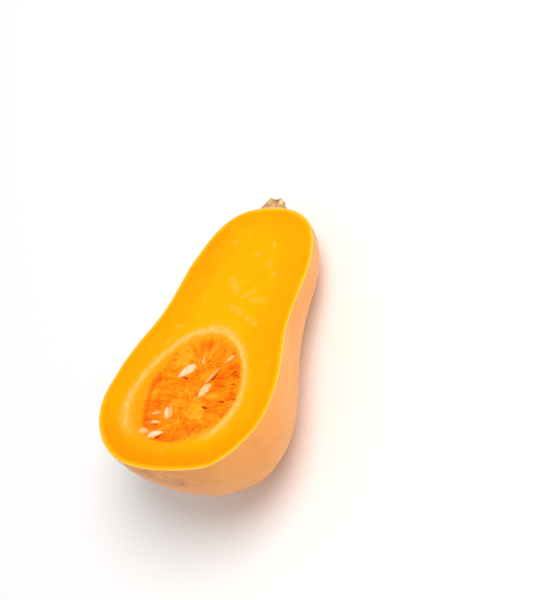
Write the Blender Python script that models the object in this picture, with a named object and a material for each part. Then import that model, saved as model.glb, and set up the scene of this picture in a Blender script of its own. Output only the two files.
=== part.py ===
# Half of a butternut pumpkin, cut lengthwise, lying on its back with the cut face up.
#
# Everything is first modelled with the cut face in the plane Z = 0, the blossom end at X = 0 and the
# stem towards +X. The half is then tipped so that bulb and neck both touch the floor, as it would lie.

import math

import bmesh
import bpy
import numpy as np

MM = 0.001

# The fruit: distance from the blossom end, half-width towards -Y, half-width towards +Y, depth below
# the cut face, all in millimetres.
FRUIT_LENGTH = 207.0
SECTIONS = (
    (3, 33.3, 24.5, 25.5),
    (10, 47.2, 40.2, 44.5),
    (20, 56.0, 52.2, 58.8),
    (35, 63.8, 62.5, 70.4),
    (52, 66.0, 67.0, 76.4),
    (66, 64.8, 66.0, 77.3),
    (80, 61.8, 63.8, 73.2),
    (95, 57.3, 59.6, 67.0),
    (110, 53.4, 53.9, 58.8),
    (125, 51.8, 50.1, 51.0),
    (140, 50.9, 48.6, 45.6),
    (155, 50.2, 47.4, 41.6),
    (170, 47.0, 44.0, 38.8),
    (183, 41.5, 40.1, 35.4),
    (193, 34.2, 34.5, 31.6),
    (200, 24.8, 27.4, 25.7),
    (204, 15.8, 19.2, 17.8),
)
WAIST = 118.0
STEM_DIMPLE = 1.3
STEM_DIMPLE_RADIUS = 13.0

RIND_THICKNESS = 1.6
FIT_GAP = 0.3
FLAT_CUT = 0.8  # how far the resting spots are worn into the rind

# The seed hollow: an egg in the bulb, wider towards the blossom end.
HOLLOW_CENTRE = 61.0
HOLLOW_HALF_LENGTH = 40.5
HOLLOW_HALF_WIDTH = 38.5
HOLLOW_DEPTH = 42.0
HOLLOW_TAPER = 0.16

# The stringy pulp that fills it.
PULP_GAP = 0.6
PULP_EDGE_DROP = 1.8
PULP_SAG = 1.2
PULP_TRENCH_DEPTH = 6.0  # a deep groove along the wall, on the +Y side
PULP_TRENCH_SHARE = 0.86
PULP_TRENCH_WIDTH = 0.12
PULP_TRENCH_HEADING = 1.75
PULP_TRENCH_SPREAD = 0.5
PULP_MIDDLE_DEPTH = 3.2
PULP_MIDDLE_REACH = 0.42
PULP_STRANDS = 27
PULP_STRAND_RELIEF = 1.1
PULP_LUMP_RELIEF = 0.9
PULP_LUMP_LENGTH = 17.0

# Seeds: place along and across, depth below the cut face, heading, roll about their length, in
# millimetres and degrees. The pointed end is at the back of the heading.
SEED_LENGTH = 13.0
SEED_WIDTH = 7.0
SEED_THICKNESS = 2.4
SEEDS = (
    (75.0, 12.2, 3.4, -58, 24),
    (72.8, -10.0, 4.2, -36, -26),
    (62.0, -8.0, 4.2, -26, 25),
    (43.0, 12.4, 4.2, 16, -35),
    (27.2, 12.0, 3.4, -74, 22),
    (33.0, 21.4, 4.4, -88, 22),
    (37.0, 14.5, 4.2, -92, -35),
    (82.4, -19.0, 4.6, -32, -25),
    (85.0, 3.0, 4.6, 24, -45),
    (50.0, 3.0, 5.6, 74, 35),
    (60.0, 24.0, 4.2, 96, 30),
)

# The stem stub, flared where it grows from the fruit: radius and height above the fruit's end.
STEM_RINGS = ((10.2, 0.0), (9.6, 0.9), (8.6, 2.6), (7.5, 4.8), (6.5, 7.0), (5.8, 8.8))
STEM_TOP_HOLLOW = 0.9
STEM_LOBES = 5
STEM_LOBE_SHARE = 0.1
STEM_LEAN = 0.08  # sideways per height, towards +Y
STEM_OFFSET = 1.2

ALONG_STEPS = 34
AROUND_STEPS = 20
HOLLOW_AROUND = 36
HOLLOW_ROWS = 8
PULP_AROUND = 104
PULP_TOP_ROWS = 9
PULP_WALL_ROWS = 5
SEED_AROUND = 8
SEED_ROWS = 6
DERIVATIVE_STEP = 1e-4
SMOOTH_ANGLE = math.radians(40)


def clear_scene():
    for obj in list(bpy.data.objects):
        bpy.data.objects.remove(obj)


def smooth_curve(knots, values, where):
    """A cubic through the values, level at both ends."""
    slopes = np.gradient(values, knots)
    slopes[0] = slopes[-1] = 0.0
    index = np.clip(np.searchsorted(knots, where) - 1, 0, len(knots) - 2)
    span = knots[index + 1] - knots[index]
    s = (where - knots[index]) / span
    return (
        values[index] * (1 + 2 * s) * (1 - s) ** 2
        + slopes[index] * span * s * (1 - s) ** 2
        + values[index + 1] * (3 - 2 * s) * s**2
        + slopes[index + 1] * span * (s - 1) * s**2
    )


def section_size(turn, column):
    """One size of the fruit's sections, as sin(turn) times a fullness that runs smoothly through SECTIONS.

    turn goes from 0 at the blossom end to pi at the stem end, so both ends close in a round dome."""
    table = np.array(SECTIONS)
    knots = np.arccos(1 - 2 * table[:, 0] / FRUIT_LENGTH)
    fullness = table[:, column] / np.sin(knots)
    knots = np.concatenate([[0.0], knots, [math.pi]])
    fullness = np.concatenate([fullness[:1], fullness, fullness[-1:]])
    return np.sin(turn) * smooth_curve(knots, fullness, turn)


def skin(turn, around):
    """Points of the outer skin. around goes from 0 at the -Y edge of the cut to pi at the +Y edge."""
    right, left, depth = (section_size(turn, column) for column in (1, 2, 3))
    y = (left - right) / 2 - (left + right) / 2 * np.cos(around)
    z = -depth * np.sin(around)
    dimple = STEM_DIMPLE * np.exp(-(y**2 + z**2) / STEM_DIMPLE_RADIUS**2) * (turn > math.pi / 2)
    x = FRUIT_LENGTH * (1 - np.cos(turn)) / 2 - dimple
    return np.stack([x, y, z], axis=-1)


def skin_inset(turn, around, inset):
    """The skin moved inwards along its normals by inset, which may be negative."""
    step = DERIVATIVE_STEP
    along = skin(turn + step, around) - skin(turn - step, around)
    across = skin(turn, around + step) - skin(turn, around - step)
    normal = np.cross(across, along)
    length = np.linalg.norm(normal, axis=-1, keepdims=True)
    pole = np.sin(turn) < step
    axis = np.stack([-np.sign(np.cos(turn)), 0 * turn, 0 * turn], axis=-1)
    normal = np.where(pole[..., None], axis, normal / np.maximum(length, 1e-12))
    points = skin(turn, around) - inset * normal
    points[:, 0, 2] = points[:, -1, 2] = 0.0
    return points


def fruit_grid(inset):
    """Rows of points from the blossom end to the stem end, on the skin moved inwards by inset."""
    turn, around = np.meshgrid(
        np.linspace(0, math.pi, ALONG_STEPS + 1),
        np.linspace(0, math.pi, AROUND_STEPS + 1),
        indexing="ij",
    )
    return skin_inset(turn, around, inset)


def add_rows(bm, grid):
    """Vertices for a grid whose first and last rows are each one point."""
    rows = [[bm.verts.new(grid[0, 0])] * grid.shape[1]]
    rows += [[bm.verts.new(point) for point in row] for row in grid[1:-1]]
    rows.append([bm.verts.new(grid[-1, 0])] * grid.shape[1])
    return rows


def add_faces(bm, rows, outwards=True, closed=False):
    """Faces between neighbouring rows, without the doubled corners at the two end points."""
    columns = len(rows[0])
    for low, high in zip(rows, rows[1:]):
        for i in range(columns if closed else columns - 1):
            j = (i + 1) % columns
            corners = list(dict.fromkeys([low[i], low[j], high[j], high[i]]))
            bm.faces.new(corners if outwards else corners[::-1])


def edge_loop(rows):
    """The rows' two outer edges, as one loop round the cut face."""
    return [row[0] for row in rows] + [row[-1] for row in rows[-2:0:-1]]


def finished(name, bm, colour, roughness):
    """An object in millimetre coordinates made from the bmesh, with its material, shaded smooth."""
    bmesh.ops.recalc_face_normals(bm, faces=bm.faces[:])
    bmesh.ops.scale(bm, vec=(MM, MM, MM), verts=bm.verts[:])
    mesh = bpy.data.meshes.new(name)
    bm.to_mesh(mesh)
    bm.free()
    mesh.shade_smooth()
    mesh.set_sharp_from_angle(angle=SMOOTH_ANGLE)
    material = bpy.data.materials.new(name)
    material.use_nodes = True
    shader = material.node_tree.nodes["Principled BSDF"]
    shader.inputs["Base Color"].default_value = (*colour, 1)
    shader.inputs["Roughness"].default_value = roughness
    shader.inputs["Metallic"].default_value = 0.0
    mesh.materials.append(material)
    obj = bpy.data.objects.new(name, mesh)
    bpy.context.scene.collection.objects.link(obj)
    return obj


def resting_plane():
    """Slope and height of the line under the fruit that bulb and neck both touch."""
    turn = np.linspace(0, math.pi, 400)
    under = skin(turn, np.full_like(turn, math.pi / 2))
    x, z = under[:, 0], under[:, 2]
    past_waist = x > WAIST
    slope = 0.0
    for _ in range(20):  # the two touching points settle within a few turns
        bulb = int(np.argmin(z - slope * x + 1e3 * past_waist))
        neck = int(np.argmin(z - slope * x + 1e3 * ~past_waist))
        slope = (z[neck] - z[bulb]) / (x[neck] - x[bulb])
    return slope, z[bulb] - slope * x[bulb] + FLAT_CUT


def make_rind(slope, height):
    bm = bmesh.new()
    outer = add_rows(bm, fruit_grid(0.0))
    inner = add_rows(bm, fruit_grid(RIND_THICKNESS))
    add_faces(bm, outer)
    add_faces(bm, inner, outwards=False)
    outer_edge, inner_edge = edge_loop(outer), edge_loop(inner)
    for i in range(len(outer_edge)):
        j = (i + 1) % len(outer_edge)
        bm.faces.new([outer_edge[i], outer_edge[j], inner_edge[j], inner_edge[i]])
    cut = bmesh.ops.bisect_plane(
        bm,
        geom=bm.verts[:] + bm.edges[:] + bm.faces[:],
        plane_co=(0, 0, height),
        plane_no=(slope, 0, -1),
        clear_outer=True,
    )
    rims = [e for e in cut["geom_cut"] if isinstance(e, bmesh.types.BMEdge) and e.is_boundary]
    bmesh.ops.holes_fill(bm, edges=rims, sides=0)
    return finished("rind", bm, (0.86, 0.50, 0.24), 0.45)


def hollow_point(share, heading, shrink, z):
    """Points across the seed hollow: share of the way from its middle to its wall, at a heading."""
    x = HOLLOW_CENTRE + share * (HOLLOW_HALF_LENGTH - shrink) * np.cos(heading)
    wide = (HOLLOW_HALF_WIDTH - shrink) * (1 - HOLLOW_TAPER * np.cos(heading))
    return np.stack([x, share * wide * np.sin(heading), z + 0 * share * heading], axis=-1)


def hollow_wall(angle, heading, shrink):
    """Points of the hollow's wall, where angle is 0 at the cut face and pi / 2 at its deepest point."""
    z = -(HOLLOW_DEPTH - shrink) * np.sin(angle)
    return hollow_point(np.cos(angle), heading, shrink, z)


def hollow_cutter():
    """The hollow, closed a little above the cut face."""
    heading = np.linspace(0, 2 * math.pi, HOLLOW_AROUND, endpoint=False)
    lid = 6.0
    rows = [hollow_point(np.zeros_like(heading), heading, 0, lid)]
    rows.append(hollow_point(np.ones_like(heading), heading, 0, lid))
    for angle in np.linspace(0, math.pi / 2, HOLLOW_ROWS):
        rows.append(hollow_wall(np.full_like(heading, angle), heading, 0))
    bm = bmesh.new()
    add_faces(bm, add_rows(bm, np.array(rows)), closed=True)
    cutter = finished("seed_hollow_cutter", bm, (0.5, 0.5, 0.5), 0.5)
    cutter.hide_render = True
    cutter.display_type = "WIRE"
    return cutter


def make_flesh():
    bm = bmesh.new()
    rows = add_rows(bm, fruit_grid(RIND_THICKNESS + FIT_GAP))
    add_faces(bm, rows)
    bm.faces.new(edge_loop(rows))
    flesh = finished("flesh", bm, (0.98, 0.45, 0.02), 0.5)
    cut = flesh.modifiers.new("seed_hollow", "BOOLEAN")
    cut.operation = "DIFFERENCE"
    cut.object = hollow_cutter()
    return flesh


def pulp_height(share, heading):
    """Height of the pulp's surface: it sags from its edge, with a groove along one side, a hollow in
    the middle, ridges where the strands run in from the wall, and uneven lumps all over."""
    place = hollow_point(share, heading, PULP_GAP, 0)
    phase = place[:, :2] * 2 * math.pi / PULP_LUMP_LENGTH
    groove = np.exp(-(((share - PULP_TRENCH_SHARE) / PULP_TRENCH_WIDTH) ** 2))
    groove *= np.exp(-(((heading - PULP_TRENCH_HEADING) / PULP_TRENCH_SPREAD) ** 2))
    middle = np.exp(-((share / PULP_MIDDLE_REACH) ** 2))
    strands = np.sin(PULP_STRANDS * heading + 1.3 * np.sin(3 * heading) + 2 * share)
    strands *= (1 - middle) * np.sin(math.pi * share) ** 0.5
    lumps = np.sin(phase[:, 0] + 0.8 * np.sin(phase[:, 1])) * np.cos(phase[:, 1] + 0.5)
    lumps *= 1 - share**4
    return (
        -PULP_EDGE_DROP
        - PULP_SAG * np.sin(math.pi * share)
        - PULP_TRENCH_DEPTH * groove
        - PULP_MIDDLE_DEPTH * middle
        + PULP_STRAND_RELIEF * strands
        + PULP_LUMP_RELIEF * lumps
    )


def pulp_rows():
    heading = np.linspace(0, 2 * math.pi, PULP_AROUND, endpoint=False)
    edge = math.asin(PULP_EDGE_DROP / HOLLOW_DEPTH)
    rows = []
    for share in np.linspace(0, 1, PULP_TOP_ROWS, endpoint=False):
        height = pulp_height(np.full_like(heading, share), heading)
        height = height.mean() + 0 * heading if share == 0 else height
        rows.append(hollow_point(np.full_like(heading, share), heading, PULP_GAP, height))
    for angle in np.linspace(edge, math.pi / 2, PULP_WALL_ROWS):
        rows.append(hollow_wall(np.full_like(heading, angle), heading, PULP_GAP))
    return np.array(rows)


def make_seed(place, collection):
    """A flat seed, pointed at one end: an outline swept through a thin oval section."""
    along, across, depth, heading, roll = place
    length = np.linspace(0, 1, SEED_ROWS + 1)[:, None]
    turn = np.linspace(0, 2 * math.pi, SEED_AROUND, endpoint=False)[None, :]
    fullness = np.sin(math.pi * length**0.8) ** 0.75
    x = (length - 0.5) * SEED_LENGTH + 0 * turn
    y = SEED_WIDTH / 2 * fullness * np.cos(turn)
    z = SEED_THICKNESS / 2 * fullness**0.7 * np.sin(turn)
    roll, heading = math.radians(roll), math.radians(heading)
    y, z = y * math.cos(roll) - z * math.sin(roll), y * math.sin(roll) + z * math.cos(roll)
    x, y = x * math.cos(heading) - y * math.sin(heading), x * math.sin(heading) + y * math.cos(heading)
    bm = bmesh.new()
    grid = np.stack([x + along, y + across, z - depth], axis=-1)
    add_faces(bm, add_rows(bm, grid), closed=True)
    seed = finished("seed", bm, (0.93, 0.72, 0.45), 0.4)
    bpy.context.scene.collection.objects.unlink(seed)
    collection.objects.link(seed)


def keep_largest_body(mesh):
    """Fills the pockets that joining has sealed, and drops loose scraps."""
    bm = bmesh.new()
    bm.from_mesh(mesh)
    left, bodies = set(bm.faces), []
    while left:
        body, edge = set(), [next(iter(left))]
        while edge:
            face = edge.pop()
            if face in left:
                left.discard(face)
                body.add(face)
                edge += [f for e in face.edges for f in e.link_faces]
        bodies.append(body)
    largest = max(bodies, key=len)
    loose = [face for face in bm.faces if face not in largest]
    bmesh.ops.delete(bm, geom=loose, context="FACES")
    bm.to_mesh(mesh)
    bm.free()


def make_pulp():
    """The pulp with its seeds grown into it, joined in one body."""
    bm = bmesh.new()
    add_faces(bm, add_rows(bm, pulp_rows()), closed=True)
    pulp = finished("seed_pulp", bm, (0.95, 0.27, 0.01), 0.35)
    seeds = bpy.data.collections.new("seeds")
    bpy.context.scene.collection.children.link(seeds)
    for place in SEEDS:
        make_seed(place, seeds)
    join = pulp.modifiers.new("seeds", "BOOLEAN")
    join.operation = "UNION"
    join.operand_type = "COLLECTION"
    join.collection = seeds
    bpy.context.view_layer.objects.active = pulp
    bpy.ops.object.modifier_apply(modifier=join.name)
    for seed in list(seeds.objects):
        bpy.data.objects.remove(seed)
    bpy.data.collections.remove(seeds)
    keep_largest_body(pulp.data)
    return pulp


def stem_ring(radius, height, around):
    """Half a ring of the stem, lobed, at a height above the fruit's end."""
    lobed = radius * (1 + STEM_LOBE_SHARE * np.cos(STEM_LOBES * around + 0.4))
    y = STEM_OFFSET + STEM_LEAN * height - lobed * np.cos(around)
    z = -lobed * np.sin(around)
    x = FRUIT_LENGTH - STEM_DIMPLE + height
    return np.stack([x + 0 * y, y, z], axis=-1)


def make_stem():
    """The stem stub: its base follows the fruit's end, a gap above it."""
    around = np.linspace(0, math.pi, AROUND_STEPS + 1)
    base_radius = STEM_RINGS[0][0]
    rows = []
    for share in (0.0, 0.5, 1.0):
        ring = stem_ring(base_radius * share, 0.0, around)
        reach = ring[:, 1] ** 2 + ring[:, 2] ** 2
        ring[:, 0] = end_surface(reach) + FIT_GAP
        rows.append(ring)
    for radius, height in STEM_RINGS[1:]:
        rows.append(stem_ring(radius, height, around))
    top_radius, top_height = STEM_RINGS[-1]
    rows.append(stem_ring(top_radius / 2, top_height - 0.8 * STEM_TOP_HOLLOW, around))
    rows.append(stem_ring(0.0, top_height - STEM_TOP_HOLLOW, around))
    grid = np.array(rows)
    grid[:, 0, 2] = grid[:, -1, 2] = 0.0
    bm = bmesh.new()
    vertex_rows = add_rows(bm, grid)
    add_faces(bm, vertex_rows)
    bm.faces.new(edge_loop(vertex_rows))
    return finished("stem", bm, (0.60, 0.42, 0.22), 0.8)


def end_surface(reach):
    """Height of the fruit's stem end at a squared distance from its axis, on the skin's widest side."""
    turn = np.linspace(math.pi / 2, math.pi, 2000)
    half_width = np.max([section_size(turn, column) for column in (1, 2, 3)], axis=0)
    x = FRUIT_LENGTH * (1 - np.cos(turn)) / 2
    x = x - STEM_DIMPLE * np.exp(-(half_width**2) / STEM_DIMPLE_RADIUS**2)
    return np.interp(-np.sqrt(reach), -half_width, x)


def lay_down(objects, slope, height):
    """Tips the half onto its resting plane, over the middle of its own footprint."""
    bpy.context.view_layer.update()
    tip = bpy.data.objects.new("lying_half", None)
    bpy.context.scene.collection.objects.link(tip)
    angle = math.atan(slope)
    points = np.array([v.co for obj in objects for v in obj.data.vertices])
    x = points[:, 0] * math.cos(angle) + points[:, 2] * math.sin(angle)
    y = points[:, 1]
    tip.rotation_euler = (0, angle, 0)
    tip.location = (
        -(x.min() + x.max()) / 2,
        -(y.min() + y.max()) / 2,
        -height * MM * math.cos(angle),
    )
    for obj in objects:
        obj.parent = tip


def main():
    clear_scene()
    slope, height = resting_plane()
    parts = [make_rind(slope, height), make_flesh(), make_pulp(), make_stem()]
    cutter = bpy.data.objects["seed_hollow_cutter"]
    lay_down([*parts, cutter], slope, height)


main()
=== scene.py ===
import math

import bmesh
import bpy
import numpy as np
from mathutils import Matrix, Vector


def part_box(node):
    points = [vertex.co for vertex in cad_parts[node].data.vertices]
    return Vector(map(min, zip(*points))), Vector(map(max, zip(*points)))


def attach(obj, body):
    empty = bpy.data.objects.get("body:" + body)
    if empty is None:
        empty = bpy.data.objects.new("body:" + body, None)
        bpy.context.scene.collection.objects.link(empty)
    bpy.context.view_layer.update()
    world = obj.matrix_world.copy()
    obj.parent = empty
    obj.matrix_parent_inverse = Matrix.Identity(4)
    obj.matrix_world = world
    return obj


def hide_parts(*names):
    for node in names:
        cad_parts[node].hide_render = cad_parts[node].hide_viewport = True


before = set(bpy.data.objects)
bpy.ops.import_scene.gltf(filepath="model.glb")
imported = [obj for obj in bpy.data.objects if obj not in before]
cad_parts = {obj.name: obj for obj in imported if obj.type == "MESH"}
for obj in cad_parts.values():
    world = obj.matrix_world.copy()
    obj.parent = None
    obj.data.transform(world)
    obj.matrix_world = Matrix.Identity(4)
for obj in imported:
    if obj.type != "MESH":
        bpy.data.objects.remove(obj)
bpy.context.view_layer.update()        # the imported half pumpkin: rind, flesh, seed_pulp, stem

# Shapes are worked out in millimetres with the cut face in the plane z = 0, the blossom end at x = 0
# and the stem towards +x. lying() then tips them onto the back and puts them where the frame is.

mm = 0.001
weldDistance = 2e-6       # points that are nearer than this, in metres, are one point

camera = {
    "place": (-0.2359, -0.7149, 0.9313),
    "azimuth": -111.05,      # where the camera stands, seen from the part, in degrees
    "elevation": 50.55,
    "roll": -63.09,          # turns the picture so that the stem points up
    "lens": 108.3,
    "sensor": 36,
}


def placeCamera():
    # turned about z to face the part, tipped down from level, then rolled about its own view
    lens = bpy.data.cameras.new("camera")
    lens.lens = camera["lens"]
    lens.sensor_width = camera["sensor"]
    eye = bpy.data.objects.new("camera", lens)
    turn = Matrix.Rotation(math.radians(camera["azimuth"] + 90), 4, "Z")
    tip = Matrix.Rotation(math.radians(90 - camera["elevation"]), 4, "X")
    roll = Matrix.Rotation(math.radians(camera["roll"]), 4, "Z")
    eye.matrix_world = Matrix.Translation(camera["place"]) @ turn @ tip @ roll
    bpy.context.scene.collection.objects.link(eye)
    bpy.context.scene.camera = eye


placeCamera()
print("camera placed")


# Helpers for surfaces

def latticeNoise(u, v, seed):
    # random numbers on a square lattice, blended smoothly between its points, from -1 to 1
    lattice = np.random.default_rng(seed).uniform(-1, 1, (256, 256))
    cellU, cellV = np.floor(u).astype(int), np.floor(v).astype(int)
    partU, partV = u - cellU, v - cellV
    partU, partV = partU**2 * (3 - 2 * partU), partV**2 * (3 - 2 * partV)
    u0, u1, v0, v1 = cellU % 256, (cellU + 1) % 256, cellV % 256, (cellV + 1) % 256
    low = lattice[u0, v0] * (1 - partU) + lattice[u1, v0] * partU
    high = lattice[u0, v1] * (1 - partU) + lattice[u1, v1] * partU
    return low * (1 - partV) + high * partV


def cloudNoise(u, v, seed, octaves=3):
    # lattice noise added at halving sizes and strengths
    total = 0
    for octave in range(octaves):
        total = total + latticeNoise(u * 2**octave, v * 2**octave, seed + octave) / 2**octave
    return total


def step(low, high, value):
    # 0 below low, 1 above high, smooth between
    share = np.clip((value - low) / (high - low), 0, 1)
    return share**2 * (3 - 2 * share)


def sheetFaces(rows, columns, wrapColumns=False):
    # quads between neighbouring rows and columns of a grid, whose points are numbered row by row
    index = np.arange(rows * columns).reshape(rows, columns)
    if wrapColumns:
        index = np.concatenate([index, index[:, :1]], axis=1)
    corners = [index[:-1, :-1], index[:-1, 1:], index[1:, 1:], index[1:, :-1]]
    return np.stack(corners, axis=-1).reshape(-1, 4)


def makePiece(name, sheets, material, facts=None, sharpAngle=50):
    # one mesh from several grids: (points, wrapColumns). Points that meet are welded, which also
    # closes the poles, and facts are arrays kept as attributes, one number for each point
    points, faces, count = [], [], 0
    for grid, wrapColumns in sheets:
        rows, columns = grid.shape[:2]
        faces.append(sheetFaces(rows, columns, wrapColumns) + count)
        points.append(grid.reshape(-1, 3))
        count += rows * columns
    mesh = bpy.data.meshes.new(name)
    mesh.from_pydata(np.concatenate(points).tolist(), [], np.concatenate(faces).tolist())
    for fact, values in (facts or {}).items():
        layer = mesh.attributes.new(fact, "FLOAT", "POINT")
        layer.data.foreach_set("value", np.concatenate([v.ravel() for v in values]).astype(np.float32))
    shell = bmesh.new()
    shell.from_mesh(mesh)
    bmesh.ops.remove_doubles(shell, verts=shell.verts, dist=weldDistance)
    bmesh.ops.recalc_face_normals(shell, faces=shell.faces)
    shell.to_mesh(mesh)
    shell.free()
    mesh.shade_smooth()
    mesh.set_sharp_from_angle(angle=math.radians(sharpAngle))
    mesh.materials.append(material)
    piece = bpy.data.objects.new(name, mesh)
    bpy.context.scene.collection.objects.link(piece)
    print(name, len(mesh.polygons), "faces")
    return piece


# Helpers for materials

def colour(red, green, blue):
    # from the 0 to 255 of a picture to Blender's linear colour
    shares = [part / 255 for part in (red, green, blue)]
    return [s / 12.92 if s <= 0.04045 else ((s + 0.055) / 1.055) ** 2.4 for s in shares] + [1]


class Finish:
    # a Principled material and short calls for the nodes that it is made of

    def __init__(self, name, roughness, specular, coat=0.0, coatRoughness=0.1):
        self.material = bpy.data.materials.new(name)
        self.material.use_nodes = True
        self.tree = self.material.node_tree
        self.shader = self.tree.nodes["Principled BSDF"]
        self.shader.inputs["Roughness"].default_value = roughness
        self.shader.inputs["Specular IOR Level"].default_value = specular
        self.shader.inputs["Coat Weight"].default_value = coat
        self.shader.inputs["Coat Roughness"].default_value = coatRoughness
        self.place = self.node("ShaderNodeTexCoord").outputs["Object"]

    def node(self, kind, **values):
        made = self.tree.nodes.new(kind)
        for name, value in values.items():
            setattr(made, name, value)
        return made

    def put(self, value, socket):
        # a link where the value comes from a node, else the value itself
        if isinstance(value, bpy.types.NodeSocket):
            self.tree.links.new(value, socket)
        else:
            socket.default_value = value

    def fact(self, name):
        return self.node("ShaderNodeAttribute", attribute_name=name).outputs["Fac"]

    def noise(self, scale, detail=3.0, stretch=(1, 1, 1), tilt=0.0, distortion=0.0):
        # clouds, drawn out where stretch is below 1, about a y axis turned by tilt in radians
        mapping = self.node("ShaderNodeMapping")
        mapping.inputs["Scale"].default_value = stretch
        mapping.inputs["Rotation"].default_value = (0, tilt, 0)
        self.put(self.place, mapping.inputs["Vector"])
        made = self.node("ShaderNodeTexNoise")
        made.inputs["Scale"].default_value = scale
        made.inputs["Detail"].default_value = detail
        made.inputs["Distortion"].default_value = distortion
        self.put(mapping.outputs["Vector"], made.inputs["Vector"])
        return made.outputs["Fac"]

    def cells(self, scale, stretch=(1, 1, 1)):
        # distance to the nearest of many scattered points
        mapping = self.node("ShaderNodeMapping")
        mapping.inputs["Scale"].default_value = stretch
        self.put(self.place, mapping.inputs["Vector"])
        made = self.node("ShaderNodeTexVoronoi")
        made.inputs["Scale"].default_value = scale
        self.put(mapping.outputs["Vector"], made.inputs["Vector"])
        return made.outputs["Distance"]

    def math(self, operation, a, b=0.0):
        made = self.node("ShaderNodeMath", operation=operation)
        self.put(a, made.inputs[0])
        self.put(b, made.inputs[1])
        return made.outputs[0]

    def span(self, value, low, high, toLow=0.0, toHigh=1.0):
        # toLow below low, toHigh above high, smooth between
        made = self.node("ShaderNodeMapRange", interpolation_type="SMOOTHSTEP")
        self.put(value, made.inputs["Value"])
        for socket, number in zip(("From Min", "From Max", "To Min", "To Max"), (low, high, toLow, toHigh)):
            made.inputs[socket].default_value = number
        return made.outputs["Result"]

    def mix(self, share, first, second):
        # the first colour at share 0, the second at 1
        made = self.node("ShaderNodeMix", data_type="RGBA")
        self.put(share, made.inputs["Factor"])
        self.put(first, made.inputs[6])
        self.put(second, made.inputs[7])
        return made.outputs[2]

    def ramp(self, value, stops):
        # a value from 0 to 1 turned into a colour, eased from stop to stop
        made = self.node("ShaderNodeValToRGB")
        made.color_ramp.interpolation = "EASE"
        while len(made.color_ramp.elements) < len(stops):
            made.color_ramp.elements.new(0.5)
        for element, (place, shade) in zip(made.color_ramp.elements, stops):
            element.position = place
            element.color = colour(*shade)
        self.put(value, made.inputs["Fac"])
        return made.outputs["Color"]

    def bump(self, height, distance, strength=1.0, under=None):
        # the normal leans with the slope of height, on top of the bump under it
        made = self.node("ShaderNodeBump")
        made.inputs["Distance"].default_value = distance
        made.inputs["Strength"].default_value = strength
        self.put(height, made.inputs["Height"])
        if under is not None:
            self.put(under, made.inputs["Normal"])
        return made.outputs["Normal"]

    def done(self, base, normal, roughness=None):
        self.put(base, self.shader.inputs["Base Color"])
        self.put(normal, self.shader.inputs["Normal"])
        if roughness is not None:
            self.put(roughness, self.shader.inputs["Roughness"])
        return self.material

    def soft(self, weight, radius, scale):
        # light that goes a little way into the flesh
        self.shader.inputs["Subsurface Weight"].default_value = weight
        self.shader.inputs["Subsurface Radius"].default_value = radius
        self.shader.inputs["Subsurface Scale"].default_value = scale


# The shape that all pieces share

fruit = {
    "length": 207,
    # from the blossom end, half-width towards -y, half-width towards +y, depth
    "sections": (
        (3, 33.3, 24.5, 25.5), (10, 47.2, 40.2, 44.5), (20, 56.0, 52.2, 58.8), (35, 63.8, 62.5, 70.4),
        (52, 66.0, 67.0, 76.4), (66, 64.8, 66.0, 77.3), (80, 61.8, 63.8, 73.2), (95, 57.3, 59.6, 67.0),
        (110, 53.4, 53.9, 58.8), (125, 51.8, 50.1, 51.0), (140, 50.9, 48.6, 45.6), (155, 50.2, 47.4, 41.6),
        (170, 47.0, 44.0, 38.8), (183, 41.5, 40.1, 35.4), (193, 34.2, 34.5, 31.6), (200, 24.8, 27.4, 25.7),
        (204, 15.8, 19.2, 17.8),
    ),
    "dimple": 1.3,
    "dimpleRadius": 13,
    "tilt": 20.03,           # degrees that the neck is tipped down
    "grainTilt": 0.29,       # radians that the streaks are tipped down, nearly along the fruit
    "alongSteps": 240,
}

hollow = {"centre": 61, "halfLength": 40.5, "halfWidth": 38.5, "depth": 42, "taper": 0.16}


def sectionSize(turn, column):
    # sin(turn) times a fullness that runs as a cubic through the sections, so both ends are round
    table = np.array(fruit["sections"])
    knots = np.arccos(1 - 2 * table[:, 0] / fruit["length"])
    values = table[:, column] / np.sin(knots)
    knots = np.concatenate([[0], knots, [math.pi]])
    values = np.concatenate([values[:1], values, values[-1:]])
    slopes = np.gradient(values, knots)
    slopes[[0, -1]] = 0
    index = np.clip(np.searchsorted(knots, turn) - 1, 0, len(knots) - 2)
    gap = knots[index + 1] - knots[index]
    s = (turn - knots[index]) / gap
    rise = values[index] * (1 + 2 * s) * (1 - s) ** 2 + values[index + 1] * (3 - 2 * s) * s**2
    bend = slopes[index] * gap * s * (1 - s) ** 2 + slopes[index + 1] * gap * (s - 1) * s**2
    return np.sin(turn) * (rise + bend)


def skin(turn, around):
    # half ellipses, one behind the other: around goes from the -y edge of the cut to the +y edge
    right, left, depth = (sectionSize(turn, column) for column in (1, 2, 3))
    y = (left - right) / 2 - (left + right) / 2 * np.cos(around)
    z = -depth * np.sin(around)
    dimple = fruit["dimple"] * np.exp(-(y**2 + z**2) / fruit["dimpleRadius"] ** 2) * (turn > math.pi / 2)
    x = fruit["length"] * (1 - np.cos(turn)) / 2 - dimple
    return np.stack([x, y, z], axis=-1)


def skinNormal(turn, around):
    # across the two directions of the skin, pointing out; along x at the two ends
    small = 1e-4
    along = skin(turn + small, around) - skin(turn - small, around)
    across = skin(turn, around + small) - skin(turn, around - small)
    normal = np.cross(across, along)
    axis = np.stack([-np.sign(np.cos(turn)), 0 * turn, 0 * turn], axis=-1)
    size = np.linalg.norm(normal, axis=-1, keepdims=True)
    return np.where((np.sin(turn) < small)[..., None], axis, normal / np.maximum(size, 1e-12))


def skinInset(turn, around, inset):
    # the skin moved inwards by inset, with its edge kept in the plane of the cut
    points = skin(turn, around) - np.asarray(inset)[..., None] * skinNormal(turn, around)
    points[:, [0, -1], 2] = 0
    return points


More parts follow.
